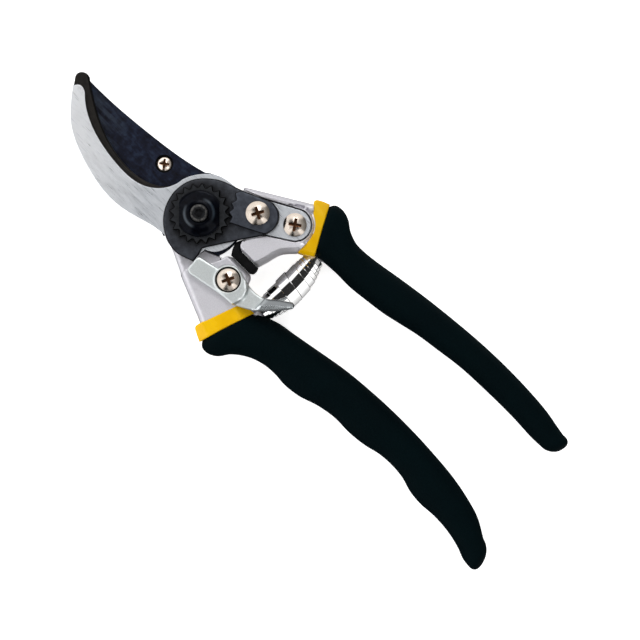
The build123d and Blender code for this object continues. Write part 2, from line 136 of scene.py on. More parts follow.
def inside(points, x, y):
    """True where (x, y) lies in the closed outline."""
    p = np.array(points, float)
    found = np.zeros(len(x), bool)
    for a, b in zip(p, np.roll(p, -1, axis=0)):
        if a[1] == b[1]:
            continue
        crosses = (a[1] > y) != (b[1] > y)
        found ^= crosses & (x < (b[0] - a[0]) * (y - a[1]) / (b[1] - a[1]) + a[0])
    return found


def rounded(d, r):
    """How far a rounded rim of radius r has dropped at distance d from the edge."""
    d = np.clip(d, 0, r)
    return r - np.sqrt(np.maximum(r * r - (r - d) ** 2, 0))


def bevelled(d, width, drop):
    """How far a flat bevel has dropped at distance d from the edge."""
    return drop * np.clip(1 - d / width, 0, 1)


def crown(top, r):
    """Top height field: flat, with a rounded rim."""
    return lambda x, y, d: top - rounded(d, r)


def belly(low, r):
    """Bottom height field: flat, with a rounded rim."""
    return lambda x, y, d: low + rounded(d, r)


def step_up(value, width):
    """0 below -width, 1 above +width, smooth between."""
    t = np.clip(value / width * 0.5 + 0.5, 0, 1)
    return t * t * (3 - 2 * t)


# ---- meshes ----
def mesh_object(name, vertices, faces, angle=40):
    """A mesh piece from millimetre vertices, smooth except at edges sharper than the angle."""
    mesh = bpy.data.meshes.new(name)
    mesh.from_pydata([tuple(v) for v in np.array(vertices) * 0.001], [], [tuple(f) for f in faces])
    mesh.validate()
    mesh.update()
    mesh.shade_smooth()
    mesh.set_sharp_from_angle(angle=math.radians(angle))
    piece = bpy.data.objects.new(name, mesh)
    bpy.context.scene.collection.objects.link(piece)
    return piece


def relief_data(rim, top, low, rings, holes=(), creases=(), grid=0.9):
    """Vertices and faces of a closed solid over a plan outline, its top and bottom given as height fields."""
    loops = [rim, *holes]
    points, edges = [], []
    for outline in loops:
        first = len(points)
        points += [tuple(p) for p in outline]
        count = len(outline)
        edges += [(first + i, first + (i + 1) % count) for i in range(count)]
    for crease in creases:
        first = len(points)
        points += [tuple(p) for p in crease]
        edges += [(first + i, first + i + 1) for i in range(len(crease) - 1)]
    base = np.array(points)

    def rim_distance(x, y):
        """Distance to the nearest of the outlines."""
        return np.min([off_line(np.vstack([o, o[:1]]), x, y) for o in loops], axis=0)

    def within(x, y):
        """True inside the rim and outside the holes."""
        found = inside(rim, x, y)
        for hole in holes:
            found &= ~inside(hole, x, y)
        return found

    # rows of points beside each outline, then a staggered grid over the rest
    extra = []
    for outline in loops:
        along = np.roll(outline, -1, axis=0) - np.roll(outline, 1, axis=0)
        across = np.column_stack([-along[:, 1], along[:, 0]])
        across /= np.maximum(np.linalg.norm(across, axis=1), 1e-9)[:, None]
        for ring in rings:
            for side in (1, -1):
                p = outline + side * ring * across
                extra.append(p[within(*p.T) & (rim_distance(*p.T) > ring * 0.96)])
    low_x, low_y = rim.min(0)
    high_x, high_y = rim.max(0)
    gx, gy = np.meshgrid(np.arange(low_x, high_x, grid), np.arange(low_y, high_y, grid))
    gx[::2] += grid / 2
    p = np.column_stack([gx.ravel(), gy.ravel()])
    extra.append(p[within(*p.T) & (rim_distance(*p.T) > max(rings) + grid * 0.4)])
    extra = np.vstack(extra)
    if len(creases):
        crease_points = np.vstack(creases)
        gap = np.min(np.linalg.norm(extra[:, None, :] - crease_points[None, :, :], axis=2), axis=1)
        extra = extra[gap > 0.18]

    # triangles of the plan, all turned the same way
    everything = [Vector(q) for q in np.vstack([base, extra])]
    flat, _, faces, *_ = delaunay_2d_cdt(everything, edges, [], 0, 1e-5)
    flat = np.array([(v.x, v.y) for v in flat])
    faces = np.array([f for f in faces if len(f) == 3])
    faces = faces[within(*flat[faces].mean(1).T)]
    used = np.unique(faces)
    renumber = np.full(len(flat), -1)
    renumber[used] = np.arange(len(used))
    flat, faces = flat[used], renumber[faces]
    a, b, c = flat[faces[:, 0]], flat[faces[:, 1]], flat[faces[:, 2]]
    backwards = (b[:, 0] - a[:, 0]) * (c[:, 1] - a[:, 1]) - (b[:, 1] - a[:, 1]) * (c[:, 0] - a[:, 0]) < 0
    faces[backwards] = faces[backwards][:, ::-1]

    # the plan lifted to its two heights, and walls between them along every open edge
    x, y = flat.T
    d = rim_distance(x, y)
    d[d < 1e-4] = 0
    high = top(x, y, d) if callable(top) else np.full(len(x), float(top))
    under = low(x, y, d) if callable(low) else np.full(len(x), float(low))
    n = len(flat)
    vertices = np.vstack([np.column_stack([x, y, high]), np.column_stack([x, y, under])])
    open_edges = {}
    for f in faces:
        for i, j in ((f[0], f[1]), (f[1], f[2]), (f[2], f[0])):
            if (j, i) in open_edges:
                del open_edges[(j, i)]
            else:
                open_edges[(i, j)] = True
    sides = [(i, i + n, j + n, j) for i, j in open_edges]
    all_faces = [tuple(f) for f in faces] + [tuple(f[::-1] + n) for f in faces] + sides
    return vertices, [tuple(int(i) for i in f) for f in all_faces]


def relief(name, *args, angle=40, **options):
    """A closed solid piece over one plan outline."""
    vertices, faces = relief_data(*args, **options)
    return mesh_object(name, vertices, faces, angle)


def together(name, *parts, angle=40):
    """One piece from several (vertices, faces) sets."""
    vertices, faces, start = [], [], 0
    for v, f in parts:
        vertices.append(v)
        faces += [tuple(i + start for i in face) for face in f]
        start += len(v)
    return mesh_object(name, np.vstack(vertices), faces, angle)


def ring_data(rings, closed_start=True, closed_end=True):
    """Vertices and faces of a skin over rings that all have the same number of points."""
    count = len(rings[0])
    vertices = [np.array(r, float) for r in rings]
    faces = []
    for k in range(len(rings) - 1):
        for i in range(count):
            j = (i + 1) % count
            faces.append((k * count + i, k * count + j, (k + 1) * count + j, (k + 1) * count + i))
    total = len(rings) * count
    if closed_start:
        vertices.append(vertices[0].mean(0)[None, :])
        faces += [(total, (i + 1) % count, i) for i in range(count)]
        total += 1
    if closed_end:
        last = (len(rings) - 1) * count
        vertices.append(rings[-1].mean(0)[None, :])
        faces += [(total, last + i, last + (i + 1) % count) for i in range(count)]
    return np.vstack(vertices), faces


def spring_boss(shoulder, back):
    """Boss that locates one end of the spring, its shoulder at the given Y and its back behind it."""
    sign = math.copysign(1, back - shoulder)
    profile = [(3.6, back)] + [(r, shoulder + sign * y) for r, y in
                               ((3.6, 0.38), (3.3, 0), (2.6, -0.02), (2.4, -0.32), (2.4, -4.22), (1.9, -4.92))]
    angles = np.linspace(0, 2 * math.pi, 64, endpoint=False)
    return ring_data([np.column_stack([SPRING_X + 1.3 + r * np.cos(angles), np.full(64, y),
                                       GRIP_MID + r * np.sin(angles)]) for r, y in profile])


def resample(points, count):
    """The same curve with evenly spaced points."""
    p = smooth(points, 0.5)
    length = np.concatenate([[0], np.cumsum(np.linalg.norm(np.diff(p, axis=0), axis=1))])
    t = np.linspace(0, length[-1], count)
    return np.column_stack([np.interp(t, length, p[:, 0]), np.interp(t, length, p[:, 1])])


# ---- materials ----
class Finish:
    """A small node tree around one Principled shader."""

    def __init__(self, name, rough=0.5, metal=0.0, **sockets):
        self.material = bpy.data.materials.new(name)
        self.material.use_nodes = True
        self.tree = self.material.node_tree
        self.shader = self.tree.nodes["Principled BSDF"]
        self.shader.inputs["Roughness"].default_value = rough
        self.shader.inputs["Metallic"].default_value = metal
        for socket, value in sockets.items():
            self.shader.inputs[socket.replace("_", " ")].default_value = value
        self.place = self.add("ShaderNodeTexCoord").outputs["Object"]

    def add(self, kind, links=None, **settings):
        node = self.tree.nodes.new(kind)
        for key, value in settings.items():
            setattr(node, key, value)
        for socket, value in (links or {}).items():
            target = node.inputs[socket]
            if isinstance(value, bpy.types.NodeSocket):
                self.tree.links.new(value, target)
            else:
                target.default_value = value
        return node

    def link(self, source, socket):
        self.tree.links.new(source, self.shader.inputs[socket])

    def done(self, colour, rough, normal):
        """The material, once its colour, roughness and normal are linked."""
        for source, socket in ((colour, "Base Color"), (rough, "Roughness"), (normal, "Normal")):
            self.link(source, socket)
        return self.material

    def math(self, operation, a, b=0.0):
        return self.add("ShaderNodeMath", {0: a, 1: b}, operation=operation).outputs[0]

    def times(self, a, b):
        return self.math("MULTIPLY", a, b)

    def stretched(self, scale, turn=0.0):
        return self.add("ShaderNodeMapping", {"Vector": self.place, "Scale": scale,
                                              "Rotation": (0, 0, turn)}).outputs[0]

    def noise(self, scale, detail=3.0, rough=0.5, place=None):
        node = self.add("ShaderNodeTexNoise", {"Vector": place or self.place, "Scale": scale,
                                               "Detail": detail, "Roughness": rough})
        return node.outputs["Fac"]

    def spread(self, value, low, high):
        """The middle of a noise's range as values from low to high."""
        return self.range(value, 0.3, 0.7, low, high)

    def ramp(self, value, *stops):
        node = self.add("ShaderNodeValToRGB", {"Fac": value})
        ramp = node.color_ramp
        ramp.elements[0].position, ramp.elements[0].color = stops[0][0], (*stops[0][1], 1)
        ramp.elements[1].position, ramp.elements[1].color = stops[-1][0], (*stops[-1][1], 1)
        for position, colour in stops[1:-1]:
            ramp.elements.new(position).color = (*colour, 1)
        return node.outputs["Color"]

    def range(self, value, a=0.3, b=0.7, low=0.0, high=1.0):
        node = self.add("ShaderNodeMapRange", {"Value": value, "From Min": a, "From Max": b,
                                               "To Min": low, "To Max": high})
        return node.outputs["Result"]

    def mix(self, factor, a, b):
        node = self.add("ShaderNodeMix", data_type="RGBA")
        for index, value in ((0, factor), (6, a), (7, b)):
            if isinstance(value, bpy.types.NodeSocket):
                self.tree.links.new(value, node.inputs[index])
            elif index == 0:
                node.inputs[0].default_value = value
            else:
                node.inputs[index].default_value = (*value, 1)
        return node.outputs[2]

    def bump(self, height, strength, distance, normal=None):
        links = {"Height": height, "Strength": strength, "Distance": distance}
        if normal is not None:
            links["Normal"] = normal
        return self.add("ShaderNodeBump", links).outputs["Normal"]

    def soft_edge(self, radius):
        return self.add("ShaderNodeBevel", {"Radius": radius}, samples=4).outputs[0]

    def normal(self):
        return self.add("ShaderNodeNewGeometry").outputs["Normal"]

    def axis(self, letter, vector=None):
        """One component of a vector, by default of the place on the object."""
        return self.add("ShaderNodeSeparateXYZ", {"Vector": vector or self.place}).outputs[letter]

    def along(self, vector, direction):
        """The vector's length along a direction."""
        node = self.add("ShaderNodeVectorMath", {0: vector, 1: direction}, operation="DOT_PRODUCT")
        return node.outputs["Value"]

    def radius(self, centre):
        moved = self.add("ShaderNodeVectorMath", {0: self.place, 1: (centre[0] / 1000, centre[1] / 1000, 0)},
                         operation="SUBTRACT").outputs[0]
        flat = self.add("ShaderNodeVectorMath", {0: moved, 1: (1, 1, 0)}, operation="MULTIPLY").outputs[0]
        return self.add("ShaderNodeVectorMath", {0: flat}, operation="LENGTH").outputs["Value"]


def casting_finish():
    """Cast alloy: fine grain and faint clouding."""
    f = Finish("cast_alloy", rough=0.42, metal=0.75)
    fine = f.noise(2600, 4, 0.6)
    cloud = f.noise(130, 3)
    colour = f.mix(f.range(fine), (0.57, 0.56, 0.60), (0.70, 0.69, 0.73))
    colour = f.mix(f.range(cloud, 0.35, 0.75, 0, 0.45), colour, (0.616, 0.6072, 0.6424))
    return f.done(colour,
                  f.spread(f.noise(900, 3), 0.37, 0.51),
                  f.bump(fine, 0.22, 0.00012, f.soft_edge(0.00035)))


def dark_steel(name, colour, spots, rough):
    """Blackened steel: mottled, worn lighter in patches, with painted shade on its slopes and in a ring round
    the nut.
    """
    f = Finish(name, rough=rough, metal=0.55)
    mottle = f.noise(500, 5, 0.62)
    base = f.mix(f.range(mottle, 0.35, 0.7), colour, spots)
    # painted shade: the plate's top is darkened towards black in a ring just round the nut's teeth
    painted_nut_shade = f.range(f.radius(PIVOT), 0.0128, 0.0098, 0, 0.72)
    base = f.mix(f.times(painted_nut_shade, f.range(f.axis("Z"), 0.0176, 0.0175)), base, (0.003, 0.003, 0.004))
    # painted shade: slopes and rounded edges are turned near black, and their specular is lowered
    slope = f.range(f.axis("Z", f.normal()), 0.96, 0.8)
    f.link(f.mix(slope, base, (0.002, 0.002, 0.003)), "Base Color")
    f.link(f.range(slope, 0, 1, 0.4, 0.1), "Specular IOR Level")
    f.link(f.spread(f.noise(1100, 3), rough - 0.08, rough + 0.1), "Roughness")
    f.link(f.bump(f.noise(2400, 3), 0.2, 0.00008, f.soft_edge(0.00022)), "Normal")
    return f.material


def screw_finish(name, centre, top, tone=1.0):
    """Warm nickel head, brown inside the cross recess."""
    f = Finish(name, rough=0.24, metal=1.0)
    rings = f.add("ShaderNodeTexNoise", {"Vector": f.stretched((1, 1, 6)), "Scale": 1400.0, "Detail": 2.0})
    low, high = [tuple(tone * c for c in shade) for shade in ((0.47, 0.41, 0.35), (0.55, 0.48, 0.42))]
    plate = f.mix(f.range(rings.outputs["Fac"]), low, high)
    depth = f.range(f.axis("Z"), top - 0.0011, top - 0.00045, 1, 0)
    within = f.range(f.radius(centre), 0.0024, 0.0028, 1, 0)
    recess = f.times(depth, within)
    return f.done(f.mix(recess, plate, (0.20, 0.095, 0.045)),
                  f.spread(f.noise(900, 2), 0.14, 0.22),
                  f.bump(f.noise(1500, 3), 0.04, 0.00004))


def latch_finish():
    """Pale cast alloy, smoother and a little darker on the thumb lever, with painted shade on the lever's side
    facet and in the screw's counterbore.
    """
    f = Finish("latch_alloy", rough=0.36, metal=0.85)
    fine = f.noise(2600, 4, 0.6)
    colour = f.mix(f.range(fine), (0.60, 0.64, 0.64), (0.76, 0.80, 0.80))
    colour = f.mix(f.range(f.noise(150, 3), 0.35, 0.75, 0, 0.4), colour, (0.62, 0.66, 0.66))
    across = f.axis("X")
    lever = f.range(across, -0.0352, -0.0368)
    colour = f.mix(lever, colour, (0.62, 0.66, 0.68))
    # painted shade: the lever's facet that faces one side is darkened towards near black
    towards = f.along(f.normal(), (0.7071, -0.7071, 0.0))
    painted_facet_shade = f.times(f.range(towards, 0.02, 0.22), f.range(across, -0.0340, -0.0375))
    colour = f.mix(f.times(painted_facet_shade, 0.85), colour, (0.10, 0.105, 0.11))
    # painted shade: the screw's counterbore is turned near black
    painted_recess_shade = f.times(f.range(f.radius(LATCH), 0.00425, 0.00445, 1, 0), f.range(f.axis("Z"), 0.0192, 0.019))
    return f.done(f.mix(painted_recess_shade, colour, (0.012, 0.011, 0.010)),
                  f.range(lever, 0, 1, 0.36, 0.22),
                  f.bump(fine, f.range(lever, 0, 1, 0.12, 0.01), 0.0001, f.soft_edge(0.0003)))


casting = casting_finish()
latch_metal = latch_finish()
plate_black = dark_steel("black_steel", (0.018, 0.02, 0.026), (0.045, 0.05, 0.062), 0.42)
segment_black = dark_steel("blue_black_steel", (0.026, 0.03, 0.04), (0.055, 0.062, 0.08), 0.4)


def nut_finish():
    """Glossy black dome on a duller toothed rim, with a painted blue-grey highlight band on the dome and
    painted shade on the rim's slopes.
    """
    f = Finish("black_nut", rough=0.2, metal=0.3, Specular_IOR_Level=0.2)
    mottle = f.noise(700, 4, 0.6)
    rim = f.range(f.axis("Z"), 0.0199, 0.0196)
    dome = f.mix(f.range(mottle), (0.001, 0.001, 0.002), (0.003, 0.004, 0.007))
    dull = f.mix(f.range(mottle), (0.006, 0.007, 0.008), (0.018, 0.020, 0.024))
    # painted shade: slopes of the rim's teeth are turned near black, and their specular is lowered
    slope = f.times(f.range(f.axis("Z", f.normal()), 0.93, 0.75), rim)
    f.link(f.range(rim, 0, 1, 0.16, 0.42), "Roughness")
    away = f.radius(PIVOT)
    # painted highlight: a blue-grey band on the dome, on two opposite sides only, with raised specular
    painted_highlight_band = f.times(f.range(away, 0.0043, 0.0049), f.range(away, 0.0056, 0.0051))
    along = f.along(f.place, (0.423, 0.906, 0.0))
    sides = f.range(f.math("DIVIDE", f.math("ABSOLUTE", along), away), 0.55, 0.95)
    painted_highlight_band = f.times(painted_highlight_band, sides)
    shine = f.math("ADD", f.range(rim, 0, 1, 0.06, 0.22), f.times(painted_highlight_band, 0.6))
    dome = f.mix(painted_highlight_band, dome, (0.012, 0.022, 0.034))
    f.link(f.mix(slope, f.mix(rim, dome, dull), (0.001, 0.001, 0.001)), "Base Color")
    f.link(f.times(shine, f.range(slope, 0, 1, 1.0, 0.15)), "Specular IOR Level")
    f.link(f.bump(f.noise(2400, 3), 0.12, 0.00006), "Normal")
    return f.material


def bolt_finish():
    """Blackened bolt, with a painted highlight: a broken grey ring on its end."""
    f = Finish("black_bolt", rough=0.3, metal=0.5, Specular_IOR_Level=0.25)
    mottle = f.noise(900, 4, 0.6)
    colour = f.mix(f.range(mottle), (0.004, 0.004, 0.005), (0.014, 0.015, 0.018))
    away = f.radius(PIVOT)
    end = f.times(f.range(f.axis("Z"), 0.0227, 0.0229), f.range(away, 0.0015, 0.0017))
    # painted highlight: a broken grey ring on the bolt's end, where its edge would catch the light
    ring = f.times(f.range(away, 0.0020, 0.0023), f.range(away, 0.0029, 0.0027))
    wear_and_highlight = f.times(f.times(end, ring), f.range(mottle, 0.35, 0.6))
    colour = f.mix(end, colour, (0.011, 0.012, 0.013))
    return f.done(f.mix(wear_and_highlight, colour, (0.11, 0.107, 0.104)),
                  f.spread(mottle, 0.22, 0.4),
                  f.bump(f.noise(2400, 3), 0.15, 0.00006))


nut_black = nut_finish()
bolt_black = bolt_finish()


def hook_finish():
    """Bright brushed land on the ground face, with painted light brightening it towards its outer end,
    blackened everywhere below it.
    """
    f = Finish("ground_steel", rough=0.3, metal=1.0)
    lines = f.noise(1.0, 4, 0.65, f.stretched((190, 3300, 600)))
    broad = f.noise(1.0, 2, 0.5, f.stretched((60, 500, 60), 0.12))
    bright = f.mix(f.range(lines), (0.56, 0.59, 0.63), (0.82, 0.84, 0.88))
    bright = f.mix(f.range(broad, 0.35, 0.7, 0, 0.35), bright, (0.62, 0.65, 0.69))
    # painted light: the land is lightened with rising x + y
    painted_light_gradient = f.math("ADD", f.axis("X"), f.axis("Y"))
    bright = f.mix(f.range(painted_light_gradient, 0.026, 0.056, 0, 0.72), bright, (0.95, 0.96, 0.98))
    bright = f.mix(f.range(lines, 0.56, 0.7, 0, 0.6), bright, (0.40, 0.42, 0.46))
    dark = f.mix(f.noise(600, 4), (0.014, 0.013, 0.013), (0.04, 0.037, 0.034))
    land = f.range(f.axis("Z"), 0.01578, 0.01586)
    return f.done(f.mix(land, dark, bright),
                  f.spread(lines, 0.26, 0.42),
                  f.bump(lines, 0.3, 0.00008, f.soft_edge(0.00025)))


def blade_finish():
    """Navy black coating, mottled, a little streaked along the blade."""
    f = Finish("coated_blade", rough=0.34, metal=0.3, Specular_IOR_Level=0.22)
    mottle = f.noise(420, 6, 0.66)
    streak = f.noise(1.0, 3, 0.55, f.stretched((120, 900, 300), 0.25))
    colour = f.ramp(f.math("ADD", f.times(mottle, 0.65), f.times(streak, 0.35)),
                    (0.36, (0.001, 0.001, 0.004)), (0.5, (0.004, 0.006, 0.018)), (0.68, (0.014, 0.024, 0.050)))
    # painted shade: the countersink round the screw is turned near black
    painted_recess_shade = f.times(f.range(f.radius(BLADE_SCREW), 0.0031, 0.0033, 1, 0), f.range(f.axis("Z"), 0.0117, 0.0115))
    wear_and_highlight = f.times(f.range(f.radius(BLADE_RUBBED), 0.016, 0.002), f.range(streak, 0.4, 0.62))
    colour = f.mix(f.times(wear_and_highlight, 0.7), colour, (0.045, 0.058, 0.075))
    return f.done(f.mix(painted_recess_shade, colour, (0.0008, 0.0008, 0.001)),
                  f.spread(mottle, 0.28, 0.45),
                  f.bump(f.noise(1800, 4), 0.22, 0.00008, f.soft_edge(0.0002)))


def grip_finish():
    """Dipped black grip: very dark with a teal cast, finely pebbled and matt."""
    f = Finish("dipped_grip", rough=0.6, Specular_IOR_Level=0.022)
    pebble = f.add("ShaderNodeTexVoronoi", {"Vector": f.place, "Scale": 2300.0}).outputs["Distance"]
    fine = f.noise(3200, 3, 0.6)
    worn = f.noise(70, 3)
    colour = f.mix(f.range(fine, 0.25, 0.75), (0.0003, 0.0022, 0.0030), (0.0008, 0.0044, 0.0056))
    colour = f.mix(f.range(worn, 0.4, 0.75, 0, 0.35), colour, (0.0012, 0.0056, 0.0070))
    f.link(colour, "Base Color")
    f.link(f.spread(worn, 0.56, 0.72), "Roughness")
    first = f.bump(pebble, 0.25, 0.00018)
    f.link(f.bump(fine, 0.25, 0.0001, first), "Normal")
    return f.material


def collar_finish(name, deep):
    """Glossy moulded yellow; one collar gets a darker copy as painted shade."""
    f = Finish(name, rough=0.28, Specular_IOR_Level=0.2)
    cloud = f.noise(160, 3)
    speck = f.noise(2200, 3)
    # painted shade: deep below 1 darkens this copy of the same yellow
    colour = f.mix(f.range(cloud), (0.78 * deep, 0.43 * deep, 0.0), (0.88 * deep, 0.52 * deep, 0.0))
    colour = f.mix(f.range(speck, 0.62, 0.8, 0, 0.35), colour, (0.66, 0.34, 0.0))
    return f.done(colour,
                  f.spread(cloud, 0.2, 0.32),
                  f.bump(f.noise(420, 3), 0.15, 0.0002))


def rubber_finish():
    """Matt black rubber with a dusty bloom."""
    f = Finish("black_rubber", rough=0.7, Specular_IOR_Level=0.08)
    bloom = f.noise(260, 4)
    return f.done(f.mix(f.range(bloom, 0.4, 0.8), (0.002, 0.002, 0.0022), (0.008, 0.008, 0.009)),
                  f.spread(bloom, 0.6, 0.8),
                  f.bump(f.noise(1500, 3), 0.3, 0.00015))


def chrome_finish():
    """Mirror plated strip, clouded and a little uneven."""
    f = Finish("spring_chrome", rough=0.06, metal=1.0)
    cloud = f.noise(300, 3)
    return f.done(f.mix(f.range(cloud, 0.35, 0.7), (0.86, 0.86, 0.86), (0.78, 0.775, 0.76)),
                  f.range(f.noise(700, 3), 0.3, 0.75, 0.035, 0.1),
                  f.bump(f.noise(240, 2), 0.06, 0.0003))


hook_steel = hook_finish()
blade_coat = blade_finish()
grip_skin = grip_finish()
collar_skin = collar_finish("yellow_plastic", 1.0)
# painted shade: the upper collar's copy is darkened
collar_skin_painted_shade = collar_finish("yellow_plastic_painted_shade", 0.84)
rubber = rubber_finish()
chrome = chrome_finish()


def dress(piece, material):
    piece.data.materials.clear()
    piece.data.materials.append(material)


def piece_done(piece, body, material, slot, *nodes):
    """Finish, body and the CAD nodes that a new piece stands for."""
    dress(piece, material)
    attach(piece, body)
    if nodes:
        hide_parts(*nodes)
    return piece


# ---- CAD nodes that keep their shape ----
def keep(node, material):
    dress(NODES[node], material)


keep("hook_blade", hook_steel)
keep("cutting_blade", blade_coat)
keep("pivot_bolt", bolt_black)
keep("pivot_washer", screw_finish("washer_nickel", PIVOT, 1.0))
for node, centre in (("segment_screw", SEGMENT), ("tang_screw", TANG), ("latch_screw", LATCH),
                     ("blade_screw", BLADE_SCREW)):
    tone = 1.6 if node == "blade_screw" else 1.0
    keep(node, screw_finish(node + "_nickel", centre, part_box(node)[1].z, tone))


# ---- lock plate, keeper and adjusting nut ----
lock_rim = loop(smooth([(-4.5, -15.9), (4.5, -12.2), (10.5, -5.5), (11.6, 0.5), (8.9, 8.5), (3.4, 13.3),
                        (-3.0, 15.0), (-9.8, 13.1)]), line([(-9.8, 13.1), (-9.5, 10.3), (-8.8, 7.6)]),
                smooth([(-8.8, 7.6), (-11.5, 3.4), (-16.9, -4.9), (-20.3, -9.9)]),
                smooth([(-20.3, -9.9), (-21.3, -12.6), (-21.0, -16.6), (-18.6, -19.4), (-15.2, -20.3)]),
                line([(-15.2, -20.3), (-4.5, -15.9)]))
plate = relief("plate", lock_rim, crown(PLATE_TOP, 0.7), belly(PLATE_LOW, 0.2),
               holes=[arc(PIVOT, 5.0, 0, 360, 0.8)[:-1], arc(SEGMENT, 2.6, 0, 360, 0.5)[:-1]],
               rings=(0.06, 0.18, 0.4, 0.7), grid=1.6, angle=50)
piece_done(plate, "hook_handle", plate_black, "black_steel", "lock_plate")

keeper_rim = loop(line([(-9.1, -4.8), (-8.6, -6.9), (-6.5, -7.3), (-6.8, -9.4), (-4.9, -10.0), (-5.5, -12.1),
                        (-3.5, -13.4), (-4.4, -15.6), (-14.9, -20.2)], 0.3),
                  smooth([(-14.9, -20.2), (-18.2, -19.3), (-20.5, -17.2), (-21.4, -13.6), (-20.6, -10.6)]),
                  smooth([(-20.6, -10.6), (-14.6, -7.5), (-9.1, -4.8)]))
keeper = relief("keeper", keeper_rim, crown(KEEPER_TOP, 0.55), PLATE_TOP,
                holes=[arc(SEGMENT, 2.6, 0, 360, 0.5)[:-1]], rings=(0.06, 0.25, 0.55), grid=1.2, angle=50)
piece_done(keeper, "hook_handle", segment_black, "blue_black_steel", "toothed_segment")


def nut_data():
    """Toothed rim with bevelled teeth, and a dome with two flats over it."""
    teeth = []
    for k in range(20):
        middle = math.radians(93.5 + 18 * k)
        for r, angle in ((8.95, -9.0), (9.0, -7.6), (10.45, -0.9), (10.5, 0.9), (9.0, 7.6)):
            a = middle + math.radians(angle)
            teeth.append((r * math.cos(a), r * math.sin(a)))
    outline = loop(line(teeth + [teeth[0]], 0.4))
    rim = relief_data(outline, lambda x, y, d: NUT_RIM_TOP - bevelled(d, 0.32, 0.32), PLATE_TOP,
                      holes=[arc(PIVOT, 3.1, 0, 360, 0.8)[:-1]], rings=(0.32,), grid=1.4)
    profile = [(7.95, 19.3), (7.95, 20.3), (7.85, 20.55), (7.6, 20.75), (7.3, 20.78), (7.0, 20.9), (6.5, 21.15),
               (6.0, 21.47), (5.6, 21.76), (5.2, 22.02), (4.8, 22.22), (4.4, 22.38), (4.0, 22.49), (3.6, 22.56),
               (3.35, 22.58), (3.22, 22.5), (3.12, 22.3), (3.1, 21.2)]
    angles = np.linspace(0, 2 * math.pi, 144, endpoint=False)
    rings = []
    for r, z in profile:
        x, y = r * np.cos(angles), r * np.sin(angles)
        across = (x + y) * 0.70711
        limit = 6.8 - max(0.0, z - 20.45) * 0.35
        shift = np.clip(across, -limit, limit) - across
        rings.append(np.column_stack([x + shift * 0.70711, y + shift * 0.70711, np.full(len(x), z)]))
    return rim, ring_data(rings, True, False)


nut = together("nut", *nut_data(), angle=32)
piece_done(nut, "hook_handle", nut_black, "black_nut", "adjusting_nut")


# ---- grips ----
def grip_data(outer, inner, tip, height, power=2.45, count=110, around=72):
    """Skin of a dipped grip between its two plan edges, rounded off at the rear end."""
    a, b = resample(outer, count), resample(inner, count)
    angles = np.linspace(0, 2 * math.pi, around, endpoint=False)
    wide = np.sign(np.cos(angles)) * np.abs(np.cos(angles)) ** (2 / power)
    tall = np.sign(np.sin(angles)) * np.abs(np.sin(angles)) ** (2 / power)

    def section(centre, half, size, tallness):
        x = centre[0] + half[0] * wide * size
        y = centre[1] + half[1] * wide * size
        return np.column_stack([x, y, GRIP_MID + tallness * tall * size])

    rings = []
    for k in range(count):
        t = k / (count - 1)
        centre, half = (a[k] + b[k]) / 2, (a[k] - b[k]) / 2
        size = (0.93, 0.985)[k] if k < 2 else 1.0
        rings.append(section(centre, half, size, height(t)))
    centre, half = (a[-1] + b[-1]) / 2, (a[-1] - b[-1]) / 2
    out = np.array(tip) - centre
    for angle in np.radians(np.linspace(9, 86, 9)):
        rings.append(section(centre + out * math.sin(angle), half, math.cos(angle) ** 0.82, height(1.0)))
    return ring_data(rings)


outer_b = [(-30.55, 31.0), (-32.4, 32.0), (-34.4, 32.2), (-37.8, 30.7), (-41, 26.6), (-46.2, 22.9), (-52.1, 21),
           (-56.5, 20.7), (-60.9, 21), (-66.8, 20.4), (-74.9, 17.9), (-81.5, 16.8), (-88.8, 16.9), (-96.2, 16),
           (-100.6, 14.9), (-106.5, 14.4), (-112.4, 14.9), (-118.2, 16.5), (-122.6, 16.9), (-130, 16.5),
           (-137.4, 17.1), (-143.2, 18.5), (-147.6, 20.1), (-149.7, 20.3)]
inner_b = [(-36.8, 10.75), (-38.8, 9.8), (-44.7, 7.5), (-52.1, 6.2), (-60.9, 4.6), (-72.6, 2.6), (-84.4, 1.5),
           (-99.1, 1.0), (-113.8, 1.5), (-125.6, 2.6), (-132.9, 4), (-140.3, 6.2), (-147.0, 10.0)]


def half_height_b(t):
    return 8.45 - 0.9 * t**3 - 0.25 * math.exp(-((t - 0.22) / 0.08) ** 2)


grip_b = together("grip_lower", grip_data(outer_b, inner_b, (-152.6, 16.0), half_height_b))
piece_done(grip_b, "blade_handle", grip_skin, "dipped_grip", "blade_handle_grip")

outer_a = [(-28.75, -33.75), (-30.4, -35.1), (-32.9, -35.6), (-36.6, -34.7), (-40.3, -32.2), (-44.7, -30.7),
           (-49.1, -30.7), (-53.5, -31.2), (-63.8, -32.9), (-75.6, -34.6), (-87.4, -35.9), (-99.1, -36.85),
           (-110.9, -37.2), (-121.2, -37.0), (-131.5, -36.2), (-138.8, -34.9), (-141.2, -34.5)]
inner_a = [(-37.75, -17.35), (-39.6, -17.9), (-46.2, -18.6), (-53.5, -18.6), (-60.9, -19.4), (-68.2, -20.4),
           (-74.9, -21.9), (-81.5, -23.4), (-90.3, -24.7), (-99.1, -25.9), (-110.9, -26.5), (-125.6, -26.6),
           (-135.0, -26.2), (-139.9, -26.4)]
grip_a = together("grip_upper", grip_data(outer_a, inner_a, (-144.5, -31.2), lambda t: 8.45 - 1.3 * t**3))
piece_done(grip_a, "hook_handle", grip_skin, "dipped_grip", "hook_handle_grip")


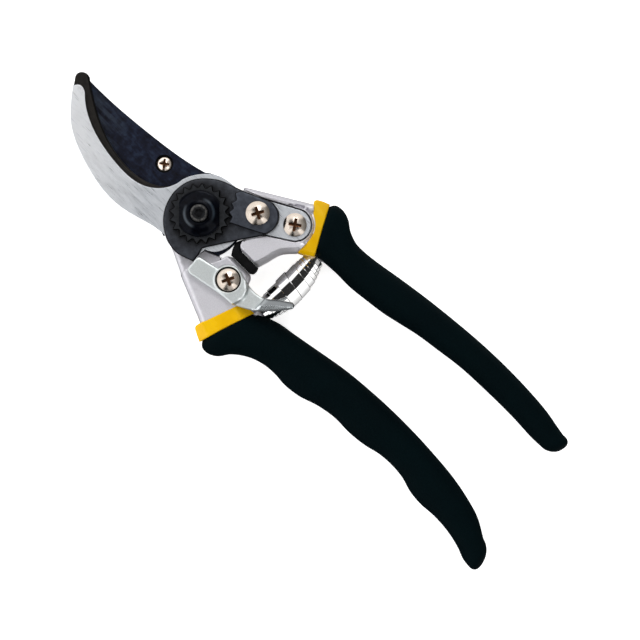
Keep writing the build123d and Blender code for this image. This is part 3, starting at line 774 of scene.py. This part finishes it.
# ---- collars ----
def collar_heights(origin, direction, creases, tilt=0.0, slope=0.72):
    """Top and bottom height fields of a collar: flat between two creases, sloping away past them."""
    origin, direction = np.array(origin), np.array(direction)

    def fall(x, y):
        along = (x - origin[0]) * direction[0] + (y - origin[1]) * direction[1]
        across = (x - origin[0]) * -direction[1] + (y - origin[1]) * direction[0]
        s = along - tilt * np.abs(across)
        past = [np.sqrt(np.maximum(v, 0) ** 2 + 0.1) - 0.316 for v in (creases[0] - along, s - creases[1])]
        return slope * (np.maximum(past[0], 0) + np.maximum(past[1], 0))

    def top(x, y, d):
        return COLLAR_TOP - fall(x, y) - rounded(d, 0.45)

    def low(x, y, d):
        return COLLAR_LOW + fall(x, y) + rounded(d, 0.45)

    return top, low


top_b, low_b = collar_heights((-30.9, 12.6), (0.333, 0.943), (1.45, 13.9))
rim_b = loop(line([(-25.7, 27.9), (-26.1, 26.2), (-30.9, 12.6)]),
             smooth([(-30.9, 12.6), (-33.6, 11.35), (-36.6, 10.8)]), line([(-36.75, 10.85), (-30.4, 31.0)]),
             smooth([(-30.4, 31.0), (-27.5, 29.6), (-25.9, 28.5), (-25.7, 27.9)]))
collar_b = relief("collar_lower", rim_b, top_b, low_b, rings=(0.1, 0.25, 0.45), grid=0.6, angle=60)
piece_done(collar_b, "blade_handle", collar_skin, "yellow_plastic", "blade_handle_collar")

top_a, low_a = collar_heights((-37.7, -17.2), (0.479, -0.878), (1.5, 13.9), tilt=0.45)
rim_a = loop(smooth([(-37.7, -17.2), (-35.0, -15.4), (-32.75, -14.25)]),
             line([(-32.75, -14.25), (-32.5, -15.4)]),
             smooth([(-32.5, -15.4), (-32.45, -19.5), (-31.45, -23.4), (-29.3, -25.9), (-27.1, -27.3),
                     (-25.0, -29.6)]),
             smooth([(-25.0, -29.6), (-24.25, -30.4), (-24.4, -31.4), (-25.6, -32.3), (-28.7, -33.7)]),
             line([(-28.7, -33.7), (-37.7, -17.2)]))
collar_a = relief("collar_upper", rim_a, top_a, low_a, rings=(0.1, 0.25, 0.45), grid=0.6, angle=60)
piece_done(collar_a, "hook_handle", collar_skin_painted_shade, "yellow_plastic", "hook_handle_collar")

# ---- rubber bumper ----
rim_bumper = loop(line([(-26.55, -1.0), (-27.0, 0.2)]), smooth([(-27.0, 0.2), (-26.9, 1.7), (-26.0, 2.5)]),
                  line([(-26.0, 2.5), (-17.3, 2.5)]),
                  smooth([(-17.3, 2.5), (-15.9, 0.2), (-15.4, -1.9), (-16.3, -4.1)]),
                  smooth([(-16.3, -4.1), (-16.95, -2.2), (-18.55, -0.95)]),
                  line([(-18.55, -0.95), (-26.55, -1.0)]))
bumper = relief("bumper", rim_bumper, crown(BUMPER_TOP, 0.8), belly(BUMPER_LOW, 0.8),
                rings=(0.1, 0.3, 0.8), grid=0.7, angle=55)
piece_done(bumper, "hook_handle", rubber, "black_rubber", "rubber_bumper")

# ---- casting of the blade handle ----
rim = loop(line([(-26.2, 26.25), (-9.9, 19.5)]), smooth([(-9.9, 19.5), (-9.6, 19.1), (-9.75, 18.2)]),
           line([(-9.75, 18.2), (-9.8, 13.8)]), arc(PIVOT, 16.9, 125.4, 166.4),
           smooth([(-16.45, 3.95), (-17.1, 3.2), (-17.9, 2.7)]), line([(-17.9, 2.65), (-26.1, 2.65)]),
           smooth([(-26.1, 2.65), (-27.3, 3.6), (-27.9, 5.0), (-29.8, 8.2), (-30.9, 11.2)]),
           line([(-30.9, 11.2), (-31.2, 12.6), (-26.4, 26.3)]))
outer_edge = [(-26.2, 26.25), (-9.9, 19.5)]
stop_edge = [(-17.1, 2.65), (-26.1, 2.65), (-27.5, 3.9), (-29.8, 8.2), (-30.9, 11.2)]


def casting_b_top(x, y, d):
    """Flat face with bevels along its outer edge and round the stop."""
    z = 15.75 - rounded(d, 0.3)
    z -= bevelled(off_line(outer_edge, x, y), 1.5, 1.3)
    z -= bevelled(off_line(stop_edge, x, y), 1.1, 1.5)
    return z


body = relief_data(rim, casting_b_top, belly(CASTING_LOW, 0.9), rings=(0.1, 0.3, 0.7, 1.1, 1.4))
arm_rim = loop(line([(3.6, 13.3), (-1.8, 15.5), (-9.8, 19.4), (-19.0, 21.0), (-19.5, 9.0), (-15.8, 7.4),
                     (-14.7, 6.2)]),
               arc(PIVOT, 13.6, 163, 287.5), line([(4.1, -12.7), (13.6, -9.9), (20.0, -8.6), (25.0, -7.6)]),
               smooth([(25.0, -7.6), (27.6, -6.2), (28.6, -3.4), (27.2, -0.6), (24.4, 0.8)]),
               line([(24.4, 0.8), (14.0, 4.0), (6.0, 11.0), (3.6, 13.3)]))
arm = relief_data(arm_rim, ARM_TOP, belly(ARM_LOW, 0.8),
                  holes=[arc(PIVOT, 5.05, 0, 360, 0.9)[:-1], arc(BLADE_SCREW, 1.6, 0, 360, 0.5)[:-1]],
                  rings=(0.1, 0.35, 0.8), grid=1.6)
wall_rim = loop(line([(-15.3, 5.4), (3.7, 13.05), (3.5, 13.35), (-1.8, 15.5), (-9.8, 19.4), (-18.5, 20.0),
                      (-19.0, 9.0), (-15.9, 7.4), (-15.3, 5.4)]))
lower_edge = [(3.6, 13.3), (-1.8, 15.5), (-9.8, 19.4)]


def wall_top(x, y, d):
    return WALL_TOP - rounded(d, 0.2) - bevelled(off_line(lower_edge, x, y), 1.1, 0.9)


wall = relief_data(wall_rim, wall_top, ARM_TOP - 0.1, rings=(0.1, 0.3, 0.7, 1.1))
frame_b = together("casting_lower", body, arm, wall, spring_boss(10.62, 14.3))
piece_done(frame_b, "blade_handle", casting, "cast_alloy", "blade_handle_frame")

# ---- casting of the hook handle ----
rim = loop(line([(-18.7, -1.05), (-26.3, -1.05)]),
           smooth([(-26.3, -1.05), (-27.3, -4.5), (-28.9, -9.8), (-32.55, -14.1)]),
           line([(-32.55, -14.1), (-32.75, -18.9)]),
           smooth([(-32.75, -18.9), (-31.6, -24.3), (-29.4, -26.3), (-27.2, -27.6), (-24.9, -29.8)]),
           line([(-24.7, -29.65), (-5.2, -17.9)]), smooth([(-5.2, -17.9), (-4.15, -17.1), (-4.5, -16.2)]),
           line([(-4.5, -16.2), (-4.25, -15.15)]), arc(PIVOT, 15.72, 254.2, 196.0),
           line([(-15.2, -4.35), (-16.5, -4.2)]), smooth([(-16.5, -4.2), (-17.1, -2.3), (-18.7, -1.05)]))
left_side = smooth([(-26.3, -1.05), (-27.3, -4.5), (-28.9, -9.8), (-32.55, -14.1)], 1.0)
claw_face = [(-18.7, -1.05), (-26.3, -1.05)]
flange = [(-24.7, -29.65), (-5.2, -17.9), (-4.2, -17.1), (-4.5, -16.3)]


def pocket_outline(gap):
    """Pocket of the tang, wider than the tang by the gap, open towards the hub."""
    u = np.array([0.841, 0.541])
    away = np.array([-u[1], u[0]]) * gap
    start = np.array([-28.27, -15.74]) + away
    low = np.array([-22.8, -24.8])
    v = np.array([0.873, 0.488])
    under = np.array([v[1], -v[0]]) * gap
    first = math.degrees(math.atan2(start[1] - TANG[1], start[0] - TANG[0]))
    last = math.degrees(math.atan2(low[1] + under[1] - TANG[1], low[0] + under[0] - TANG[0])) % 360
    return np.vstack([line([start + u * 15.5, start], 0.6), arc(TANG, 5.3 + gap, first % 360, last, 0.5),
                      line([low + under, low + under + v * 16.5], 0.6)])


pocket_in, pocket_out = pocket_outline(0.55), pocket_outline(0.6)
wing = np.array([(-21.2, -10.5), (-17.2, -4.6), (-12.5, 2.8), (-2, 2), (-2, -14), (-4.3, -16.35),
                 (-15.3, -20.8), (-21.6, -17.4)])


def casting_a_top(x, y, d):
    """Claw and its sloped side, ridge along the flange, lip round the tang's pocket, and the wings' steps."""
    claw = step_up((x + 28.27) * -0.541 + (y + 15.74) * 0.841, 0.6)
    r = np.hypot(x - TANG[0], y - TANG[1])
    off_flange = off_line(flange, x, y)
    ridge = 16.45 - 2.6 * (np.clip(1.35 - off_flange, 0, 1.35) / 1.35) ** 2
    ridge -= 1.15 * step_up(off_flange - 2.7, 0.8) * step_up(r - 6.8, 0.5)
    lip = 16.45 - 1.5 * np.clip((r - 6.05) / 0.85, 0, 1)
    lower = np.where(r < 6.9, lip, ridge)
    z = claw * 16.55 + (1 - claw) * lower
    z -= rounded(d, 0.35)
    z -= bevelled(off_line(left_side, x, y), 1.75, 3.6)
    z -= bevelled(off_line(claw_face, x, y), 0.7, 1.2)
    z = np.where(inside(wing, x, y), np.minimum(z, 15.7), z)
    deep = inside(np.vstack([pocket_in, [(-2, -2)]]), x, y)
    return np.where(deep, 11.8, z)


def clipped(points):
    """The part of a crease that lies well inside the casting."""
    return points[inside(rim, *points.T) & (np.hypot(*points.T) > HUB_CLEAR)]


def twin(a, b, gap=0.03):
    """A straight crease as two lines close together, so that a step across it stays sharp."""
    a, b = np.array(a, float), np.array(b, float)
    side = np.array([a[1] - b[1], b[0] - a[0]]) / np.linalg.norm(b - a) * gap
    return [clipped(line([a + side, b + side], 0.5)), clipped(line([a - side, b - side], 0.5))]


wing_edges = twin((-15.3, -20.8), (-4.6, -16.47)) + twin((-21.2, -10.5), (-17.4, -4.9))
frame_a_body = relief_data(rim, casting_a_top, belly(CASTING_LOW, 0.9),
                           creases=[clipped(pocket_in), clipped(pocket_out), *wing_edges],
                           rings=(0.1, 0.35, 0.8, 1.25, 1.75), grid=0.7)
frame_a = together("casting_upper", frame_a_body, spring_boss(-18.22, -21.2), angle=35)
piece_done(frame_a, "hook_handle", casting, "cast_alloy", "hook_handle_frame")

# ---- thumb latch ----
latch_rim = loop(smooth([(-29.7, 13.9), (-24.5, 14.35), (-16.0, 16.0), (-11.8, 16.75)]),
                 smooth([(-11.8, 16.75), (-10.5, 16.2), (-10.2, 14.8)]), line([(-10.2, 14.8), (-9.85, 11.2)]),
                 smooth([(-9.85, 11.2), (-9.9, 10.6), (-10.5, 10.3)]), line([(-10.5, 10.3), (-17.25, 8.75)]),
                 arc(LATCH, 5.15, -4, -118), smooth([(-25.1, 4.4), (-27.2, 5.0), (-31.0, 5.65), (-34.9, 5.1),
                                                     (-40.0, 1.4), (-43.4, -0.95)]),
                 smooth([(-43.4, -0.95), (-44.6, -0.75), (-45.1, 0.2), (-44.3, 1.7)]),
                 smooth([(-44.3, 1.7), (-40.6, 6.2), (-35.0, 11.0), (-29.7, 13.9)]))
crease = smooth([(-29.3, 13.0), (-30.4, 10.0), (-29.4, 7.2), (-27.0, 5.2)], 0.6)
spine = smooth([(-36.4, 7.6), (-40.0, 4.0), (-44.6, 0.3)], 0.6)


def latch_top(x, y, d):
    """Flat boss round the screw, a lower shelf past the crease, and the lever rising to its spine."""
    boss = np.array([(-29.3, 14.5), (-30.4, 10.0), (-29.4, 7.2), (-27.0, 5.2), (-26.0, 0), (-5, 0), (-5, 20)])
    in_boss = inside(boss, x, y)
    gap = off_line(crease, x, y)
    side = np.where(in_boss, gap, -gap)
    z = LATCH_TOP - 1.25 * (1 - step_up(side + 0.4, 0.55)) * step_up(x + 36.1, 0.7)
    r = np.hypot(x - LATCH[0], y - LATCH[1])
    z -= 0.28 * step_up(r - 4.75, 0.3) * step_up(x + 30.5, 0.5) * in_boss
    lift = np.clip((-36.0 - x) / 9.0, 0, 1)
    away = off_line(spine, x, y)
    lever = 19.85 + 1.35 * lift - 0.5 * away
    near = np.clip((x + 36.9) / 0.9, 0, 1)
    z = np.where(x < -36.0, near * np.maximum(lever, 18.9) + (1 - near) * lever, z)
    return z - rounded(d, 0.5)


def latch_low(x, y, d):
    """Flat underside, relieved over the lock plate and rising under the lever."""
    z = LATCH_LOW + 1.2 * np.clip((-34.5 - x) / 11.0, 0, 1)
    passing = np.hypot(x, y) < 16.95
    z = np.where(passing, 17.75, z)
    return z + rounded(d, 0.25)


latch_body = relief_data(latch_rim, latch_top, latch_low, holes=[arc(LATCH, 4.32, 0, 360, 0.5)[:-1]],
                         creases=[crease[1:-1], spine[:-3]], rings=(0.08, 0.22, 0.5, 0.9), grid=0.45)
angles = np.linspace(0, 2 * math.pi, 64, endpoint=False)
seat = ring_data([np.column_stack([LATCH[0] + r * np.cos(angles), LATCH[1] + r * np.sin(angles),
                                   np.full(64, h)])
                  for r, h in ((2.6, 16.0), (4.36, 16.0), (4.36, 18.2), (2.6, 18.25))], False, False)
latch = together("latch", latch_body, seat)
piece_done(latch, "latch", latch_metal, "latch_alloy", "thumb_latch")


# ---- volute spring ----
def spring_data(turns=6.0, per_turn=64, width=4.4, thick=0.24):
    """One strip coiled inwards from its middle to both ends, the whole spring bowed towards the palm."""
    count = int(turns * per_turn)
    rows = []
    for k in range(-count, count + 1):
        t = k / per_turn
        size = abs(t)
        y = SPRING_MID + math.copysign(np.interp(size, range(7), SPRING_REACH_STEPS), t)
        radius = np.interp(size, range(7), SPRING_RADIUS_STEPS)
        angle = 2 * math.pi * t + 0.6
        c, s = math.cos(angle), math.sin(angle)
        low = max(y - width / 2, -18.1)
        high = min(y + width / 2, 10.5)
        section = []
        for r, edge in ((radius, low + 0.17), (radius, high - 0.17), (radius - 0.11, high),
                        (radius - thick, high), (radius - thick, low), (radius - 0.11, low)):
            bow = 1.4 * ((edge - SPRING_MID) / 13.4) ** 2
            section.append((SPRING_X + bow + r * c, edge, GRIP_MID + r * s))
        rows.append(np.array(section))
    return ring_data(rows)


spring = together("spring", spring_data(), angle=30)
dress(spring, chrome)
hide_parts("volute_spring")
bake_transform(spring)


# ---- floor, light and camera ----
def white_floor():
    """Pale floor, kept out of mirror reflections."""
    plane = bpy.data.meshes.new("floor")
    size, level = 3.0, -0.0006
    plane.from_pydata([(-size, -size, level), (size, -size, level), (size, size, level), (-size, size, level)],
                      [], [(0, 1, 2, 3)])
    floor = bpy.data.objects.new("floor", plane)
    bpy.context.scene.collection.objects.link(floor)
    f = Finish("floor_white", rough=0.9)
    f.link(f.mix(f.noise(40, 2), (0.86, 0.86, 0.86), (0.89, 0.89, 0.89)), "Base Color")
    f.shader.inputs["Emission Color"].default_value = (1, 1, 1, 1)
    f.shader.inputs["Emission Strength"].default_value = 0.75
    plane.materials.append(f.material)
    floor.visible_glossy = False


def surroundings():
    """Soft bright surroundings, darker towards the horizon, with dark cards and bright windows."""
    world = bpy.data.worlds.new("surroundings")
    bpy.context.scene.world = world
    world.use_nodes = True
    tree = world.node_tree
    background = tree.nodes["Background"]
    split = tree.nodes.new("ShaderNodeSeparateXYZ")
    tree.links.new(tree.nodes.new("ShaderNodeTexCoord").outputs["Generated"], split.inputs[0])

    def calc(operation, a, b=0.0):
        node = tree.nodes.new("ShaderNodeMath")
        node.operation = operation
        for i, value in enumerate((a, b)):
            if isinstance(value, bpy.types.NodeSocket):
                tree.links.new(value, node.inputs[i])
            else:
                node.inputs[i].default_value = value
        return node.outputs[0]

    def both(a, b):
        return calc("MULTIPLY", a, b)

    def without(value, card, share=0.97):
        """The value, dimmed where the card is."""
        return both(value, calc("SUBTRACT", 1.0, both(card, share)))

    def band(value, low, high, soft=0.06):
        """1 between two values, with soft sides."""
        middle, half = (low + high) / 2, (high - low) / 2
        node = tree.nodes.new("ShaderNodeMapRange")
        node.interpolation_type = "SMOOTHSTEP"
        tree.links.new(calc("ABSOLUTE", calc("SUBTRACT", value, middle)), node.inputs["Value"])
        for i, number in enumerate((half - soft, half + soft, 1.0, 0.0)):
            node.inputs[i + 1].default_value = number
        return node.outputs[0]

    # u runs towards the bottom of the picture, v towards its right, both in direction space
    x, y, z = split.outputs
    u = both(calc("SUBTRACT", y, x), 0.7071)
    v = both(calc("ADD", x, y), -0.7071)
    low = calc("SQRT", calc("ADD", both(x, x), both(y, y)))
    fan = calc("DIVIDE", calc("ABSOLUTE", v), calc("MAXIMUM", u, 0.05))
    below = band(u, 0.3, 1.2)
    wedge = both(below, band(fan, -0.5, 0.48, 0.08))
    flanks = both(below, band(fan, 0.62, 1.5, 0.1))
    window = both(band(u, -0.97, -0.55), band(v, -0.55, 0.6, 0.1))
    right = both(band(x, 0.66, 1.1, 0.04), band(y, -0.45, 0.45, 0.1))
    left = both(band(v, -1.0, -0.5), band(u, -0.25, 0.6, 0.1))
    overhead = both(band(x, -0.5, 0.6, 0.04), band(y, -0.11, 0.11, 0.03))
    fall = tree.nodes.new("ShaderNodeValToRGB")
    tree.links.new(low, fall.inputs[0])
    levels = ((0.0, 0.95), (0.4, 0.9), (0.62, 0.55), (0.86, 0.22), (1.0, 0.08))
    fall.color_ramp.elements[0].position = levels[0][0]
    fall.color_ramp.elements[1].position = levels[-1][0]
    for position, _ in levels[1:-1]:
        fall.color_ramp.elements.new(position)
    for element, (_, level) in zip(fall.color_ramp.elements, levels):
        element.color = (level, level, level, 1)
    windows = calc("MAXIMUM", calc("MAXIMUM", flanks, window), calc("MAXIMUM", right, left))
    upper = without(without(calc("ADD", fall.outputs[0], both(windows, 1.35)), wedge), overhead)

    # light from below the horizon, for faces that look sideways and down
    side_glow = both(calc("MAXIMUM", both(x, -0.9), 0.0), band(y, -0.25, 0.25, 0.1))
    top_glow = both(band(u, -1.0, -0.5, 0.1), 0.75)
    under = calc("MAXIMUM", both(calc("ADD", z, 0.5), 0.5), 0.03)
    under = calc("ADD", under, calc("MAXIMUM", side_glow, top_glow))
    above = calc("GREATER_THAN", z, 0.0)
    strength = calc("ADD", both(upper, above), both(under, calc("SUBTRACT", 1.0, above)))
    tree.links.new(strength, background.inputs["Strength"])
    background.inputs["Color"].default_value = (1.0, 1.0, 1.0, 1)


def lamps():
    """A warm key and a cool fill."""
    for name, at, size, power, colour in (("key", (0.25, -0.35, 0.75), 0.3, 1.2, (1.0, 0.99, 0.97)),
                                          ("fill", (-0.45, 0.25, 0.6), 0.4, 0.4, (0.97, 0.98, 1.0))):
        light = bpy.data.lights.new(name, "AREA")
        light.size = size
        light.energy = power
        light.color = colour
        lamp = bpy.data.objects.new(name, light)
        lamp.location = at
        lamp.rotation_euler = (Vector((-0.04, 0, 0)) - Vector(at)).to_track_quat("-Z", "Y").to_euler()
        bpy.context.scene.collection.objects.link(lamp)


def view_from_above():
    """Camera straight above, turned so that the tool lies across the picture."""
    camera_data = bpy.data.cameras.new("camera")
    camera_data.sensor_width = 36
    camera_data.lens = 36 * 0.650 / 0.21875
    camera_data.clip_start = 0.05
    camera_data.clip_end = 5
    camera = bpy.data.objects.new("camera", camera_data)
    camera.location = (-0.05424, -0.00338, 0.662)
    camera.rotation_euler = (0, 0, math.radians(-135))
    bpy.context.scene.collection.objects.link(camera)
    bpy.context.scene.camera = camera
    bpy.context.scene.view_settings.view_transform = "Standard"


white_floor()
surroundings()
lamps()
view_from_above()
